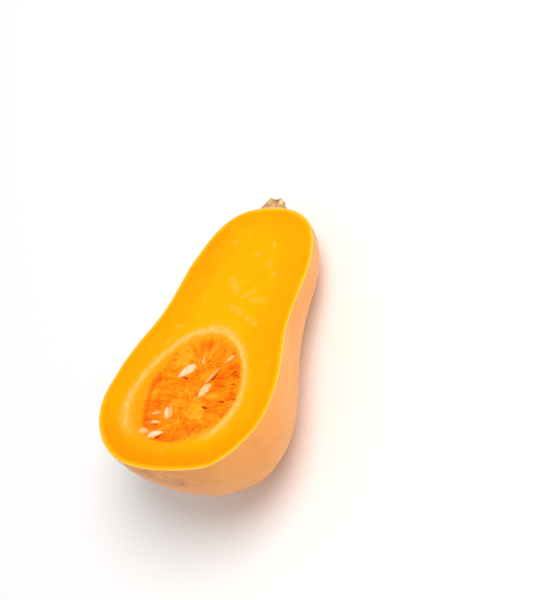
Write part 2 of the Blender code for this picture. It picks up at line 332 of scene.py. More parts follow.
def hollowPoint(share, heading, shrink=0.0):
    # an egg, wider towards the blossom end, as share of the way from its middle to its edge
    x = hollow["centre"] + share * (hollow["halfLength"] - shrink) * np.cos(heading)
    width = (hollow["halfWidth"] - shrink) * (1 - hollow["taper"] * np.cos(heading))
    return x, share * width * np.sin(heading)


def tipped(points):
    # turned about y, so that the stem end goes down
    tilt = math.radians(fruit["tilt"])
    x = points[..., 0] * math.cos(tilt) + points[..., 2] * math.sin(tilt)
    z = points[..., 2] * math.cos(tilt) - points[..., 0] * math.sin(tilt)
    return np.stack([x, points[..., 1], z], axis=-1)


def placeOfCad():
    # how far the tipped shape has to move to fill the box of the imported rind
    turn, around = np.meshgrid(np.linspace(0, math.pi, 121), np.linspace(0, math.pi, 81), indexing="ij")
    shape = tipped(skin(turn, around)).reshape(-1, 3) * mm
    low, high = (np.array(corner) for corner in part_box("rind"))
    return np.array([low[0] - shape[:, 0].min(), low[1] - shape[:, 1].min(), high[2] - shape[:, 2].max()])


cadPlace = placeOfCad()


def lying(points):
    # from the shape's millimetres to the frame's metres, never below the surface it lies on
    placed = tipped(points) * mm + cadPlace
    placed[..., 2] = np.maximum(placed[..., 2], 0)
    return placed


def toSegment(x, y, start, end):
    # distance from a point to a straight stretch
    dx, dy = end[0] - start[0], end[1] - start[1]
    along = np.clip(((x - start[0]) * dx + (y - start[1]) * dy) / (dx * dx + dy * dy), 0, 1)
    return np.hypot(x - start[0] - along * dx, y - start[1] - along * dy)


# Rind

rind = {
    "thickness": 1.6,
    "edgeRound": 0.2,
    "innerDrop": 0.05,
    "lumpHeight": 0.35,
    "lumpLength": 34,
    "ribHeight": 0.16,
    "ribs": 9,
    "scarFrom": (9.0, -7.8),       # ends of the corky scar by the blossom end, across and down
    "scarTo": (-11.0, -18.5),
    "scarWidth": 10.0,
    "scarDepth": 0.1,
    "aroundSteps": 190,
    "innerSteps": 24,
    "tan": (249, 165, 84),
    "tanLight": (250, 175, 98),
    "tanDeep": (241, 151, 74),
    "tanPink": (252, 160, 95),
    "scar": (186, 122, 74),
    "cream": (255, 206, 101),
    "inner": (254, 188, 16),
}


def rindFinish():
    # tan with paler clouds, deeper streaks along the fruit, pink patches and specks, then the scar,
    # and cream and flesh colour on the rim, by how deep under the skin it is
    made = Finish("rindSkin", 0.45, 0.18, 0.04, 0.28)
    tones = rind
    tilt = fruit["grainTilt"]
    broad = made.noise(26, 4, (0.55, 1, 1), tilt, 0.4)
    streaks = made.noise(120, 4, (0.09, 1, 1), tilt, 0.2)
    fine = made.noise(420, 5)
    base = made.mix(made.span(broad, 0.35, 0.7), colour(*tones["tan"]), colour(*tones["tanLight"]))
    deeper = made.math("MULTIPLY", made.span(streaks, 0.5, 0.75), 0.5)
    base = made.mix(deeper, base, colour(*tones["tanDeep"]))
    patches = made.noise(48, 3, (0.5, 1, 1), tilt)
    pinker = made.math("MULTIPLY", made.span(patches, 0.55, 0.8), 0.5)
    base = made.mix(pinker, base, colour(*tones["tanPink"]))
    specks = made.span(made.cells(330, (0.6, 1, 1)), 0.1, 0.24, 1, 0)
    specks = made.math("MULTIPLY", specks, made.span(fine, 0.5, 0.6, 0, 0.35))
    base = made.mix(specks, base, colour(*tones["tanDeep"]))
    scar = made.math("MULTIPLY", made.fact("scar"), made.span(made.noise(210, 4), 0.3, 0.7, 0.1, 0.6))
    base = made.mix(scar, base, colour(*tones["scar"]))
    rim = made.span(made.fact("inset"), 0.02, 0.3)
    cream = made.math("MULTIPLY", rim, made.span(broad, 0.3, 0.6, 0.6, 1))
    base = made.mix(cream, base, colour(*tones["cream"]))
    base = made.mix(made.span(made.fact("inset"), 0.5, 1.0), base, colour(*tones["inner"]))
    normal = made.bump(streaks, 0.0006, 0.25)
    normal = made.bump(fine, 0.0004, 0.35, normal)
    made.soft(0.1, (1, 0.45, 0.2), 0.002)
    return made.done(base, normal, made.span(fine, 0.3, 0.7, 0.36, 0.5))


def rindSkin():
    # the skin with low lumps and faint ribs, which fade out at the cut, then the rounded rim, then
    # the inner face, as one closed loop for each step along the fruit
    turns = np.linspace(0, math.pi, fruit["alongSteps"] + 1)
    outer = np.linspace(0, math.pi, rind["aroundSteps"] + 1)
    turn, around = np.meshgrid(turns, outer, indexing="ij")
    base = skin(turn, around)
    fade = step(0, 0.35, np.minimum(around, math.pi - around)) * step(0, 0.3, np.sin(turn))
    lumps = rind["lumpHeight"] * cloudNoise(base[..., 0] / rind["lumpLength"] + 7, around * 1.7 + 3, 11)
    ribs = rind["ribHeight"] * np.cos(2 * rind["ribs"] * around + 0.7 * np.sin(3 * turn))
    reach = toSegment(base[..., 1], base[..., 2], rind["scarFrom"], rind["scarTo"]) / rind["scarWidth"]
    reach = reach + 0.4 * cloudNoise(base[..., 1] / 5, base[..., 2] / 5, 5)
    scar = (1 - step(0.1, 1, reach)) * (turn < math.pi / 2)
    pits = rind["scarDepth"] * scar * (0.6 + 0.4 * cloudNoise(base[..., 1] / 1.5, base[..., 2] / 1.5, 21))
    outside = skinInset(turn, around, pits - (lumps + ribs) * fade)
    outside[:, [0, -1], 2] = -rind["edgeRound"]
    edge = skinInset(turn, around, np.full_like(turn, rind["edgeRound"]))
    turn, around = np.meshgrid(turns, np.linspace(0, math.pi, rind["innerSteps"] + 1), indexing="ij")
    inside = skinInset(turn, around, np.full_like(turn, rind["thickness"]))
    inside[:, [0, -1], 2] = -rind["innerDrop"]
    loop = np.concatenate([outside, edge[:, -1:], inside[:, ::-1], edge[:, :1]], axis=1)
    inset = np.zeros(loop.shape[:2])
    inset[:, outside.shape[1]:] = rind["thickness"]
    inset[:, [outside.shape[1], -1]] = rind["edgeRound"]
    scarred = np.zeros(loop.shape[:2])
    scarred[:, :outside.shape[1]] = scar
    facts = {"inset": [inset], "scar": [scarred]}
    piece = makePiece("rindSkin", [(lying(loop), True)], rindFinish(), facts)
    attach(piece, "root")
    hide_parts("rind")


rindSkin()


# Flesh

flesh = {
    "inset": 1.5,            # how deep under the skin the flesh starts
    "faceSteps": 110,
    "wallSteps": 10,
    "underSteps": 24,
    "lipRound": 0.25,
    "lipReach": 1.2,
    "grain": 0.07,
    # the pale ring round the hollow is a larger egg, missing at the blossom end
    "ringCentre": (60.5, 1.9),
    "ringHalf": (45.4, 42.2),
    "ringTaper": 0.17,
    "ringBreadth": 2.7,
    "ringEnd": (20, 36),     # it fades in between these places along the fruit
    # cut veins: start, end, half-width
    "veins": (
        ((146.3, 5.9), (136.0, -2.0), 2.1), ((131.3, -7.3), (136.7, -15.7), 1.4),
        ((129.7, -15.8), (128.9, -27.7), 1.5), ((124.4, -2.7), (119.0, -13.0), 1.7),
        ((115.6, -19.2), (114.4, -20.9), 1.7), ((112.2, -25.3), (110.7, -27.9), 1.7),
        ((159.4, -17.2), (156.2, -20.2), 1.2), ((150.6, -23.4), (149.8, -27.6), 1.2),
        ((167.6, -3.3), (166.8, -6.1), 1.2), ((175.4, -14.0), (172.1, -16.2), 1.0),
        ((177.9, 19.8), (176.2, 17.4), 1.5), ((107.7, 34.4), (108.3, 29.0), 1.2),
        ((81.6, -50.0), (82.4, -50.6), 0.9), ((99.0, 33.0), (96.5, 36.0), 1.1),
    ),
    "orange": (254, 166, 0),
    "yellow": (254, 177, 1),
    "deep": (254, 158, 0),
    "deepest": (253, 143, 0),
    "underSkin": (255, 186, 6),
    "ring": (255, 196, 104),
    "inside": (253, 161, 12),
    "vein": (255, 190, 66),
}


def fleshFinish():
    # yellower with the distance from the skin, deepest at the blossom end, with fine grain and pale
    # specks, then the bright line under the skin, the face inside the ring, the ring and the veins
    made = Finish("cutFlesh", 0.5, 0.02)
    tones = flesh
    broad = made.noise(22, 3)
    middle = made.noise(75, 4)
    fine = made.noise(600, 5)
    fromSkin = made.math("ADD", made.fact("fromSkin"), made.span(broad, 0.3, 0.7, -5, 5))
    base = made.mix(made.span(fromSkin, 0, 11), colour(*tones["deep"]), colour(*tones["orange"]))
    base = made.mix(made.span(fromSkin, 12, 30), base, colour(*tones["yellow"]))
    base = made.mix(made.fact("blossom"), base, colour(*tones["deepest"]))
    base = made.mix(made.span(middle, 0.5, 0.8, 0, 0.4), base, colour(*tones["deep"]))
    base = made.mix(made.span(fine, 0.5, 0.75, 0, 0.3), base, colour(*tones["deep"]))
    specks = made.span(made.noise(170, 2), 0.6, 0.76, 0, 0.28)
    specks = made.math("MULTIPLY", specks, made.span(fromSkin, 4, 14))
    base = made.mix(specks, base, colour(*tones["vein"]))
    base = made.mix(made.span(made.fact("fromSkin"), 0.2, 2.7, 0.8, 0), base, colour(*tones["underSkin"]))
    base = made.mix(made.math("MULTIPLY", made.fact("inside"), 0.85), base, colour(*tones["inside"]))
    pale = made.span(fine, 0.35, 0.6, 0.7, 1)
    base = made.mix(made.math("MULTIPLY", made.fact("ring"), pale), base, colour(*tones["ring"]))
    base = made.mix(made.math("MULTIPLY", made.fact("vein"), pale), base, colour(*tones["vein"]))
    normal = made.bump(fine, 0.0005, 0.3)
    normal = made.bump(middle, 0.0006, 0.25, normal)
    made.soft(0.15, (1, 0.42, 0.08), 0.003)
    return made.done(base, normal, made.span(middle, 0.3, 0.7, 0.42, 0.56))


def nearest(points, line):
    # the distance from each point to the nearest point of a line, in the plane of the cut
    blocks = np.array_split(points[..., :2].reshape(-1, 2), 24)
    found = [np.sqrt(((block[:, None] - line[None, :, :2]) ** 2).sum(-1).min(1)) for block in blocks]
    return np.concatenate(found).reshape(points.shape[:-1])


def cutFlesh():
    # the cut face is ruled from the edge of the hollow to the outline; below it are the wall of the
    # hollow and the underside, which lies against the rind
    turns = np.linspace(0, math.pi, fruit["alongSteps"] + 1)
    turn, around = np.meshgrid(turns, np.linspace(0, math.pi, flesh["underSteps"] + 1), indexing="ij")
    under = skinInset(turn, around, np.full_like(turn, flesh["inset"]))
    outline = np.concatenate([under[:, 0], under[-2:0:-1, -1]])
    heading = np.unwrap(np.arctan2(outline[:, 1], outline[:, 0] - hollow["centre"]))
    edgeX, edgeY = hollowPoint(1.0, heading)
    edge = np.stack([edgeX, edgeY, 0 * edgeX], axis=-1)
    share = np.linspace(0, 1, flesh["faceSteps"] + 1)[:, None, None]
    face = edge * (1 - share) + outline * share
    fromHollow, fromSkin = nearest(face, edge), nearest(face, outline)
    grain = cloudNoise(face[..., 0] / 3, face[..., 1] / 3, 31, 2) * step(0, 3, fromSkin)
    lip = np.exp(-((fromHollow / flesh["lipReach"]) ** 2))
    face[..., 2] = flesh["grain"] * grain * step(0, 3, fromHollow) - flesh["lipRound"] * lip
    angle = np.linspace(0, math.pi / 2, flesh["wallSteps"] + 1)[:, None]
    wallX, wallY = hollowPoint(np.cos(angle), heading[None])
    wallZ = -hollow["depth"] * np.sin(angle) - flesh["lipRound"] * (1 - np.sin(angle)) + 0 * wallX
    wall = np.stack([wallX, wallY, wallZ], axis=-1)
    x, y = face[..., 0], face[..., 1]
    along = (x - flesh["ringCentre"][0]) / flesh["ringHalf"][0]
    width = flesh["ringHalf"][1] * (1 - flesh["ringTaper"] * np.clip(along, -1, 1))
    outside = (np.hypot(along, (y - flesh["ringCentre"][1]) / width) - 1) * flesh["ringHalf"][1]
    outside = outside + 0.8 * latticeNoise(x / 5, y / 5, 32) + 0.5 * latticeNoise(x / 1.8, y / 1.8, 33)
    present = step(*flesh["ringEnd"], x)
    mottle = 0.82 + 0.5 * latticeNoise(x / 2, y / 2, 34)
    ring = np.exp(-((outside / flesh["ringBreadth"]) ** 2)) * present * mottle
    vein = 0
    for start, end, half in flesh["veins"]:
        vein = np.maximum(vein, np.exp(-((toSegment(x, y, start, end) / half) ** 2)))
    vein = vein * (0.6 + 0.4 * latticeNoise(x / 3, y / 3, 35))
    inside = 1 - step(-2.6, -0.6, outside)
    blossom = (1 - step(-6, 46, x)) * (1 - step(6, 18, fromSkin))
    blank = [np.zeros(wall.shape[:2]), np.zeros(under.shape[:2])]
    facts = {
        "ring": [np.clip(ring, 0, 1), *blank],
        "vein": [np.clip(vein, 0, 1), *blank],
        "inside": [inside, 1 + blank[0], blank[1]],
        "blossom": [blossom, *blank],
        "fromSkin": [fromSkin, blank[0] + 30, blank[1]],
    }
    sheets = [(lying(face), True), (lying(wall), True), (lying(under), False)]
    piece = makePiece("cutFlesh", sheets, fleshFinish(), facts)
    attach(piece, "root")
    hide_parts("flesh")


cutFlesh()


# Pulp: the bed of strands, the loose strands on it, membranes and seeds

pulp = {
    "gap": -0.3,             # it runs on into the flesh, so no seam shows
    "edgeDrop": 0.12,
    "sag": 1.6,
    "middleDepth": 1.8,
    "axisStart": 44,         # the strands run in from the wall towards this stretch of the middle line
    "axisEnd": 78,
    "turnRadius": 17,
    "coarse": 1.0,           # relief of bundles and of single strands
    "strand": 0.6,
    "thread": 0.25,
    "lump": 0.9,
    # how far the loose pulp reaches, as headings in degrees and shares of the way to the wall
    "reachHeadings": (-162, -140, -110, -85, -48, -10, 19, 43, 62, 94, 115, 136, 150, 180, 198),
    "reachShares": (1.0, 0.91, 0.98, 0.95, 0.95, 0.94, 0.93, 1.0, 0.9, 0.87, 0.84, 0.88, 1.02, 1.02, 1.0),
    "groove": ((70.8, 31.0), (60.0, 32.4), (49.5, 30.4), (42.5, 28.2), (34.0, 25.2)),
    "grooveDepth": 0.9,
    "grooveWidth": 1.9,
    "shareSteps": 150,
    "headingSteps": 560,
    "wallSteps": 12,
    # gaps between strands, dug in and darkened with painted shade: start, end, half-width, depth
    "gaps": (
        ((70.4, 11.4), (69.4, 8.6), 0.32, 1.6),
        # along seed 2, dug and darkened as its painted shadow
        ((67.5, -8.0), (76.0, -14.6), 0.45, 2.3),
        ((69.8, -21.9), (75.9, -28.2), 0.5, 2.4),
        ((72.0, -27.4), (73.2, -29.8), 0.45, 2.2),
        ((68.2, -26.6), (69.2, -29.6), 0.45, 2.2),
        ((65.6, -29.6), (66.0, -31.6), 0.45, 2.0),
        ((62.4, -30.0), (62.6, -31.6), 0.45, 1.9),
        ((59.5, -31.4), (59.8, -32.8), 0.42, 1.8),
        ((64.0, -19.6), (64.2, -24.5), 0.42, 1.9),
        ((52.8, -22.8), (53.0, -28.0), 0.42, 1.9),
        ((49.0, -13.6), (48.6, -16.2), 0.55, 2.3),
        ((41.0, -0.6), (37.4, -2.6), 0.4, 1.8),
        ((30.5, -14.1), (35.0, -17.6), 0.5, 2.0),
        ((23.5, -12.8), (27.5, -15.0), 0.5, 1.8),
        ((23.4, 13.5), (24.4, 8.0), 0.4, 1.6),
        ((84.0, -17.8), (88.4, -20.8), 0.35, 1.8),
        ((94.5, 6.0), (86.2, 3.6), 1.2, 0.5),
        ((93.0, -3.5), (84.0, -5.0), 1.0, 0.45),
        ((92.0, -11.5), (86.0, -13.5), 0.8, 0.45),
        ((90.5, 12.0), (86.0, 9.0), 0.7, 0.4),
        ((82.5, 25.5), (82.0, 22.5), 0.4, 1.2),
        ((64.5, 33.6), (63.4, 32.8), 0.3, 0.8),
        ((61.0, 34.6), (60.2, 34.0), 0.3, 0.7),
        ((48.0, 36.6), (47.4, 36.9), 0.3, 0.6),
        ((43.0, 35.2), (42.6, 35.6), 0.3, 0.6),
    ),
    # smooth, paler membranes: middle, half-length, half-width, heading
    "membranes": (
        ((45.6, -9.0), 9.5, 6.5, 35),
        ((56.0, -2.5), 6.0, 3.2, 40),
        ((85.5, 19.5), 9.5, 7.0, 15),
    ),
    # redder places: middle, reach along the fruit, reach across it
    "redder": (
        ((65.4, -19.6), 8, 8), ((84.0, -12.0), 6, 4), ((34.9, 18.1), 6, 7), ((23.7, -1.4), 6, 12),
        ((30.5, -15.2), 5, 5), ((53.6, 11.1), 4, 5), ((73.0, 1.0), 6, 3), ((29.0, 1.0), 5, 8),
    ),
    "pale": (255, 186, 76),
    "bright": (255, 170, 24),
    "main": (253, 142, 3),
    "deep": (244, 104, 0),
    # the painted shade of the gaps and troughs
    "dark": (192, 72, 8),
    "beyond": (253, 160, 4),
    "membrane": (255, 170, 28),
}


def acrossStrands(x, y):
    # how far round the middle line a point is, measured across the strands, and its distance from it
    onAxis = np.clip(x, pulp["axisStart"], pulp["axisEnd"])
    angle = np.abs(np.arctan2(y, x - onAxis))
    place = pulp["turnRadius"] * angle + pulp["axisEnd"] - onAxis
    return np.where(y >= 0, place, -place), np.hypot(x - onAxis, y)


def pulpSurface(x, y, share):
    # height of the bed, and how light it is painted: bundles, strands and threads that run in from the
    # wall, as noise that is stretched along them, with lumps, a groove by one side, gaps and membranes; the
    # colour is painted shade in the troughs and darker painted shade in the gaps, painted light on the
    # crests;
    # groove and redder places are kept as facts, since they only change the colour
    place, reach = acrossStrands(x, y)
    place = place + 1.2 * latticeNoise(x / 9, y / 9, 41) + 0.4 * latticeNoise(x / 3, y / 3, 42)
    outer = step(3, 14, reach)
    bundles = 1 - 2 * np.abs(latticeNoise(place / 3.4 + 90, reach / 26, 43))
    strands = 1 - 2 * np.abs(latticeNoise(place / 1.25 + 60, reach / 15, 44))
    threads = latticeNoise(place / 0.55 + 120, reach / 9, 45)
    lumps = cloudNoise(x / 8, y / 8, 46, 3)
    jumble = 1 - 2 * np.abs(latticeNoise(x / 2.6, y / 2.6, 47))
    relief = outer * (pulp["coarse"] * bundles + pulp["strand"] * strands) + pulp["lump"] * lumps
    relief = relief + (1 - outer) * jumble + pulp["thread"] * threads * (0.4 + 0.6 * outer)
    groove, gaps, membrane = 0, 0, 0
    for start, end in zip(pulp["groove"], pulp["groove"][1:]):
        near = toSegment(x, y, start, end) + 0.35 * latticeNoise(x / 1.4, y / 1.4, 49)
        groove = np.maximum(groove, np.exp(-((near / pulp["grooveWidth"]) ** 2)))
    for start, end, width, depth in pulp["gaps"]:
        near = toSegment(x, y, start, end) + 0.15 * latticeNoise(x / 0.9, y / 0.9, 50)
        gaps = np.maximum(gaps, depth * np.exp(-((near / width) ** 4)))
    for (middleX, middleY), halfLength, halfWidth, turn in pulp["membranes"]:
        turn = math.radians(turn)
        ahead = ((x - middleX) * math.cos(turn) + (y - middleY) * math.sin(turn)) / halfLength
        aside = ((y - middleY) * math.cos(turn) - (x - middleX) * math.sin(turn)) / halfWidth
        far = np.hypot(ahead, aside) + 0.45 * cloudNoise(x / 3.4, y / 3.4, 52, 2)
        membrane = np.maximum(membrane, 1 - step(0.6, 1.1, far))
    along, across = (x - hollow["centre"]) / hollow["halfLength"], y / hollow["halfWidth"]
    headings = np.degrees(np.arctan2(across, along))
    edge = np.interp(headings, pulp["reachHeadings"], pulp["reachShares"], period=360)
    beyond = step(-0.05, 0.04, share - edge + 0.035 * latticeNoise(x / 2, y / 2, 48))
    calm = (1 - 0.85 * beyond) * (1 - 0.5 * membrane) * (1 - step(0.93, 1, share))
    body = -pulp["edgeDrop"] - pulp["sag"] * np.sin(math.pi * share) ** 0.7 * (1 - 0.6 * beyond)
    body = body - pulp["middleDepth"] * np.exp(-((share / 0.5) ** 2)) * (1 - 0.5 * membrane)
    height = body + calm * (relief - 0.9) * 0.7 - pulp["grooveDepth"] * groove - gaps
    # painted shade and painted light: darker in the troughs of the relief and in the gaps, paler on the
    # crests
    light = 0.42 + 0.17 * relief - 0.38 * gaps
    redder = 0
    for (middleX, middleY), reachX, reachY in pulp["redder"]:
        far = ((x - middleX) / reachX) ** 2 + ((y - middleY) / reachY) ** 2
        redder = np.maximum(redder, np.exp(-far * (1 + 0.5 * latticeNoise(x / 4, y / 4, 53))))
    redder = redder * (1 - beyond) * (1 - membrane)
    tones = {"light": light, "beyond": beyond, "membrane": membrane * (gaps < 1)}
    return np.minimum(height, -0.1), tones | {"groove": groove + 0 * x, "redder": redder}


def pulpFinish(name, spread):
    # painted shade in the gaps and troughs to painted light on the crests of the bed, and a tone drawn
    # for each loose strand, with a spread of clouds; then the redder places, the plain flesh beyond the
    # pulp, the membranes and the groove
    made = Finish(name, 0.45, 0.05, 0.03, 0.15)
    tones = pulp
    broad = made.noise(95, 3)
    fine = made.noise(900, 4)
    light = made.math("ADD", made.fact("light"), made.span(broad, 0.25, 0.75, -spread, spread))
    base = made.ramp(light, (
        (0.0, tones["dark"]), (0.2, tones["deep"]), (0.5, tones["main"]),
        (0.84, tones["bright"]), (1.0, tones["pale"]),
    ))
    redder = made.math("MULTIPLY", made.fact("redder"), made.span(light, 0.3, 0.9, 0.8, 0.35))
    redder = made.math("MULTIPLY", redder, made.span(light, 0.02, 0.22))
    base = made.mix(redder, base, colour(*tones["deep"]))
    beyond = made.math("MULTIPLY", made.fact("beyond"), made.span(light, 0, 0.25, 0.2, 0.92))
    base = made.mix(beyond, base, colour(*tones["beyond"]))
    membrane = made.math("MULTIPLY", made.fact("membrane"), made.span(light, 0.1, 0.7, 0.3, 0.85))
    base = made.mix(membrane, base, colour(*tones["membrane"]))
    groove = made.math("MULTIPLY", made.fact("groove"), made.span(light, 0, 0.3, 0.3, 0.85))
    base = made.mix(groove, base, colour(*tones["deep"]))
    normal = made.bump(fine, 0.0004, 0.4)
    made.soft(0.2, (1, 0.35, 0.06), 0.002)
    return made.done(base, normal)


def pulpBed():
    # the bed over the whole egg, then down the wall of the hollow to its lowest point
    heading = np.linspace(0, 2 * math.pi, pulp["headingSteps"], endpoint=False)[None]
    share = np.linspace(0, 1, pulp["shareSteps"] + 1)[:, None]
    x, y = hollowPoint(share, heading, pulp["gap"])
    z, tones = pulpSurface(x, y, share + 0 * x)
    z[0] = z[0].mean()
    top = np.stack([x, y, z], axis=-1)
    angle = np.linspace(0, math.pi / 2, pulp["wallSteps"])[:, None]
    x, y = hollowPoint(np.cos(angle), heading, pulp["gap"])
    rimZ = z[-1][None]
    z = rimZ * (1 - np.sin(angle)) - (hollow["depth"] - pulp["gap"]) * np.sin(angle)
    wall = np.stack([x, y, z], axis=-1)
    facts = {name: [values, np.full(wall.shape[:2], 0.4)] for name, values in tones.items()}
    sheets = [(lying(top), True), (lying(wall), True)]
    piece = makePiece("pulpBed", sheets, pulpFinish("pulpBed", 0.16), facts, 80)
    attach(piece, "root")
    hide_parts("seed_pulp")


pulpBed()

strands = {
    "count": 220,
    "length": (6, 20),
    "radius": (0.16, 0.34),
    "lift": (0.0, 0.25),
    "wander": 1.0,
    "stray": 0.16,           # radians, how far their headings differ from straight in
    "sink": 1.5,             # how far they drop where no loose strand shows
    "steps": 15,
    "sides": 6,
    "light": (0.35, 0.88),
}


def tubes(path, radius, sides):
    # round tubes along many paths at once: each ring is set square to the path's direction
    ahead = np.gradient(path, axis=1)
    ahead /= np.linalg.norm(ahead, axis=-1, keepdims=True)
    side = np.cross(ahead, np.array([0, 0, 1.0]))
    side /= np.maximum(np.linalg.norm(side, axis=-1, keepdims=True), 1e-9)
    up = np.cross(side, ahead)
    turn = np.linspace(0, 2 * math.pi, sides, endpoint=False)
    ring = side[:, :, None] * np.cos(turn)[:, None] + up[:, :, None] * np.sin(turn)[:, None]
    return path[:, :, None] + radius[:, :, None, None] * ring


def tubeSheets(rings):
    # each tube is a grid of its own, which makePiece joins in one mesh
    return [(lying(tube), True) for tube in rings]


def looseStrands():
    # strands that start at the wall, run in towards the middle line and rise a little off the bed
    draw = np.random.default_rng(7)
    count = strands["count"]
    heading = draw.uniform(0, 2 * math.pi, count)
    start = draw.uniform(0.45, 0.97, count)
    x0, y0 = hollowPoint(start, heading, pulp["gap"])
    inX = np.clip(x0, pulp["axisStart"], pulp["axisEnd"]) - x0
    inward = np.arctan2(-y0, inX) + draw.normal(0, strands["stray"], count)
    t = np.linspace(0, 1, strands["steps"])[None]
    room = np.hypot(inX, y0) * 0.95
    length = np.minimum(draw.uniform(*strands["length"], count), room + 3)[:, None]
    sway = strands["wander"] * latticeNoise(t * 2.2, np.arange(count)[:, None] * 3.7, 51)
    x = x0[:, None] + t * length * np.cos(inward)[:, None] - sway * np.sin(inward)[:, None]
    y = y0[:, None] + t * length * np.sin(inward)[:, None] + sway * np.cos(inward)[:, None]
    share = np.hypot((x - hollow["centre"]) / hollow["halfLength"], y / hollow["halfWidth"])
    z, tones = pulpSurface(x, y, np.clip(share, 0, 1))
    padded = np.pad(z, ((0, 0), (2, 2)), mode="edge")
    smooth = sum(padded[:, shift:shift + strands["steps"]] for shift in range(5)) / 5
    lift = draw.uniform(*strands["lift"], count)[:, None]
    z = np.maximum(smooth, z - 0.2) + lift * np.sin(math.pi * t)
    radius = draw.uniform(*strands["radius"], count)[:, None] * np.sin(math.pi * np.clip(t, 0, 1)) ** 0.5
    overGap = step(0.14, -0.1, tones["light"])
    hidden = np.max([tones["beyond"], tones["membrane"], tones["groove"], overGap], axis=0)
    z = np.minimum(z, -0.05 - radius) - strands["sink"] * hidden
    rings = tubes(np.stack([x, y, z], axis=-1), radius + 1e-5, strands["sides"])
    tone = draw.uniform(*strands["light"], count)[:, None, None] + np.zeros(rings.shape[:3])
    facts = {"light": [tone[i] for i in range(count)]}
    piece = makePiece("looseStrands", tubeSheets(rings), pulpFinish("looseStrands", 0.1), facts, 80)
    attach(piece, "root")
    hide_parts("seed_pulp")


looseStrands()

seeds = {
    "length": 13.8,
    "width": 6.8,
    "thickness": 2.4,
    "marginDip": 0.1,        # share by which the middle is thinner than the margin
    "bow": 0.3,
    "standsProud": 0.5,      # how far a seed may rise above the cut
    "alongSteps": 36,
    "aroundSteps": 32,
    # middle, depth, heading of the pointed end, roll about the length, size, share of pulp over it
    "places": (
        (74.8, 11.2, 3.1, 131, -10, 1.1, 0.12),
        (71.9, -11.4, 2.4, -27, -36, 1.06, 0.7),
        (60.8, -9.4, 3.4, 153, -16, 0.96, 0.45),
        (43.0, 11.6, 2.7, 26, -14, 0.76, 0.05),
        (44.0, 9.2, 2.4, 26, -20, 0.72, 0.75),
        (25.8, 11.4, 0.95, -71, -8, 0.88, 0.0),
        (27.8, 23.2, 1.15, 86, 8, 0.74, 0.6),
        (35.2, 16.4, 2.0, -90, -34, 0.62, 0.2),
        (85.2, -19.8, 2.1, -38, -22, 0.72, 0.65),
        (83.0, 0.8, 2.1, 16, -30, 0.6, 0.7),
        (42.0, 19.2, 2.1, -81, -20, 0.55, 0.8),
    ),
    "cream": (255, 230, 194),
    "shade": (252, 198, 134),
    "edge": (250, 160, 66),
    "veil": (253, 164, 66),
}


def seedFinish():
    # cream with darker streaks, orange round the edge, and pulp over the parts that it veils
    made = Finish("seed", 0.34, 0.3, 0.25, 0.15)
    tones = seeds
    streaks = made.noise(260, 4)
    base = made.mix(made.span(streaks, 0.35, 0.7, 0, 0.6), colour(*tones["cream"]), colour(*tones["shade"]))
    base = made.mix(made.span(made.fact("edge"), 0.4, 1.0, 0, 0.9), base, colour(*tones["edge"]))
    veil = made.math("MULTIPLY", made.fact("veil"), made.span(made.noise(190, 3), 0.3, 0.65, 0.65, 1))
    base = made.mix(veil, base, colour(*tones["veil"]))
    normal = made.bump(streaks, 0.0003, 0.4)
    made.soft(0.2, (1, 0.6, 0.3), 0.002)
    return made.done(base, normal)


def seedShape(place):
    # a drop-shaped outline carried round a flat oval, a little thinner inside its raised margin
    x0, y0, depth, heading, roll, size, veil = place
    t = np.linspace(0, 1, seeds["alongSteps"] + 1)[:, None]
    turn = np.linspace(0, 2 * math.pi, seeds["aroundSteps"], endpoint=False)[None]
    full = np.sin(math.pi * t**0.72) ** 0.8
    x = (t - 0.5) * seeds["length"] + 0 * turn
    y = seeds["width"] / 2 * full * np.cos(turn)
    inner = np.exp(-((np.cos(turn) / 0.62) ** 2)) * step(0, 0.2, t) * step(0, 0.2, 1 - t)
    margin = 1 - seeds["marginDip"] * inner
    flat = np.sign(np.sin(turn)) * np.abs(np.sin(turn)) ** 0.75
    z = seeds["thickness"] / 2 * full**0.6 * flat * margin
    bow = seeds["bow"] * (1 - (2 * t - 1) ** 2)
    x, y, z = x * size, y * size, (z + bow) * size
    roll, heading = math.radians(roll), math.radians(heading)
    y, z = y * math.cos(roll) - z * math.sin(roll), y * math.sin(roll) + z * math.cos(roll)
    x, y = x * math.cos(heading) - y * math.sin(heading), x * math.sin(heading) + y * math.cos(heading)
    ends = 0.5 * (1 - step(0.02, 0.4, t)) + 0.45 * step(0.68, 1, t)
    veiled = np.clip(veil + ends + 0 * turn, 0, 1)
    facts = {"edge": [np.abs(np.cos(turn)) + 0 * t], "veil": [veiled]}
    return np.stack([x + x0, y + y0, np.minimum(z - depth, seeds["standsProud"])], axis=-1), facts


def pulpSeeds():
    # one seed for each of the places, all of one finish
    finish = seedFinish()
    for number, place in enumerate(seeds["places"], 1):
        shape, facts = seedShape(place)
        piece = makePiece(f"seed{number:02d}", [(lying(shape), True)], finish, facts, 80)
        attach(piece, "root")
        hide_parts("seed_pulp")


pulpSeeds()


# Stem

stem = {
    "rings": ((10.2, 0.0), (9.7, 0.8), (8.9, 2.2), (7.9, 4.2), (7.0, 6.0), (6.4, 7.2), (5.8, 8.0)),
    "lean": -0.04,
    "offset": 1.2,
    "lobes": 5,
    "lobeShare": 0.1,
    "ridgeShare": 0.07,
    "topHollow": 0.8,
    # how far the broken top stands up, from its -y edge (-1) to its +y edge (1)
    "topPlaces": (-1, -0.75, -0.45, -0.1, 0.3, 0.7, 1),
    "topRises": (-2.2, -0.5, 1.5, 0.0, -0.6, 0.2, 0.9),
    "alongSteps": 60,
    "aroundSteps": 90,
    "topSteps": 12,
    "footSteps": 4,
    "faceSteps": 30,
    "faceLump": 1.3,         # how uneven the cut through the stem is
    "base": (191, 143, 88),
    "light": (224, 181, 123),
    "pit": (156, 110, 84),
    "green": (176, 150, 70),
    "footPink": (250, 182, 132),
    "pale": (252, 222, 168),
}


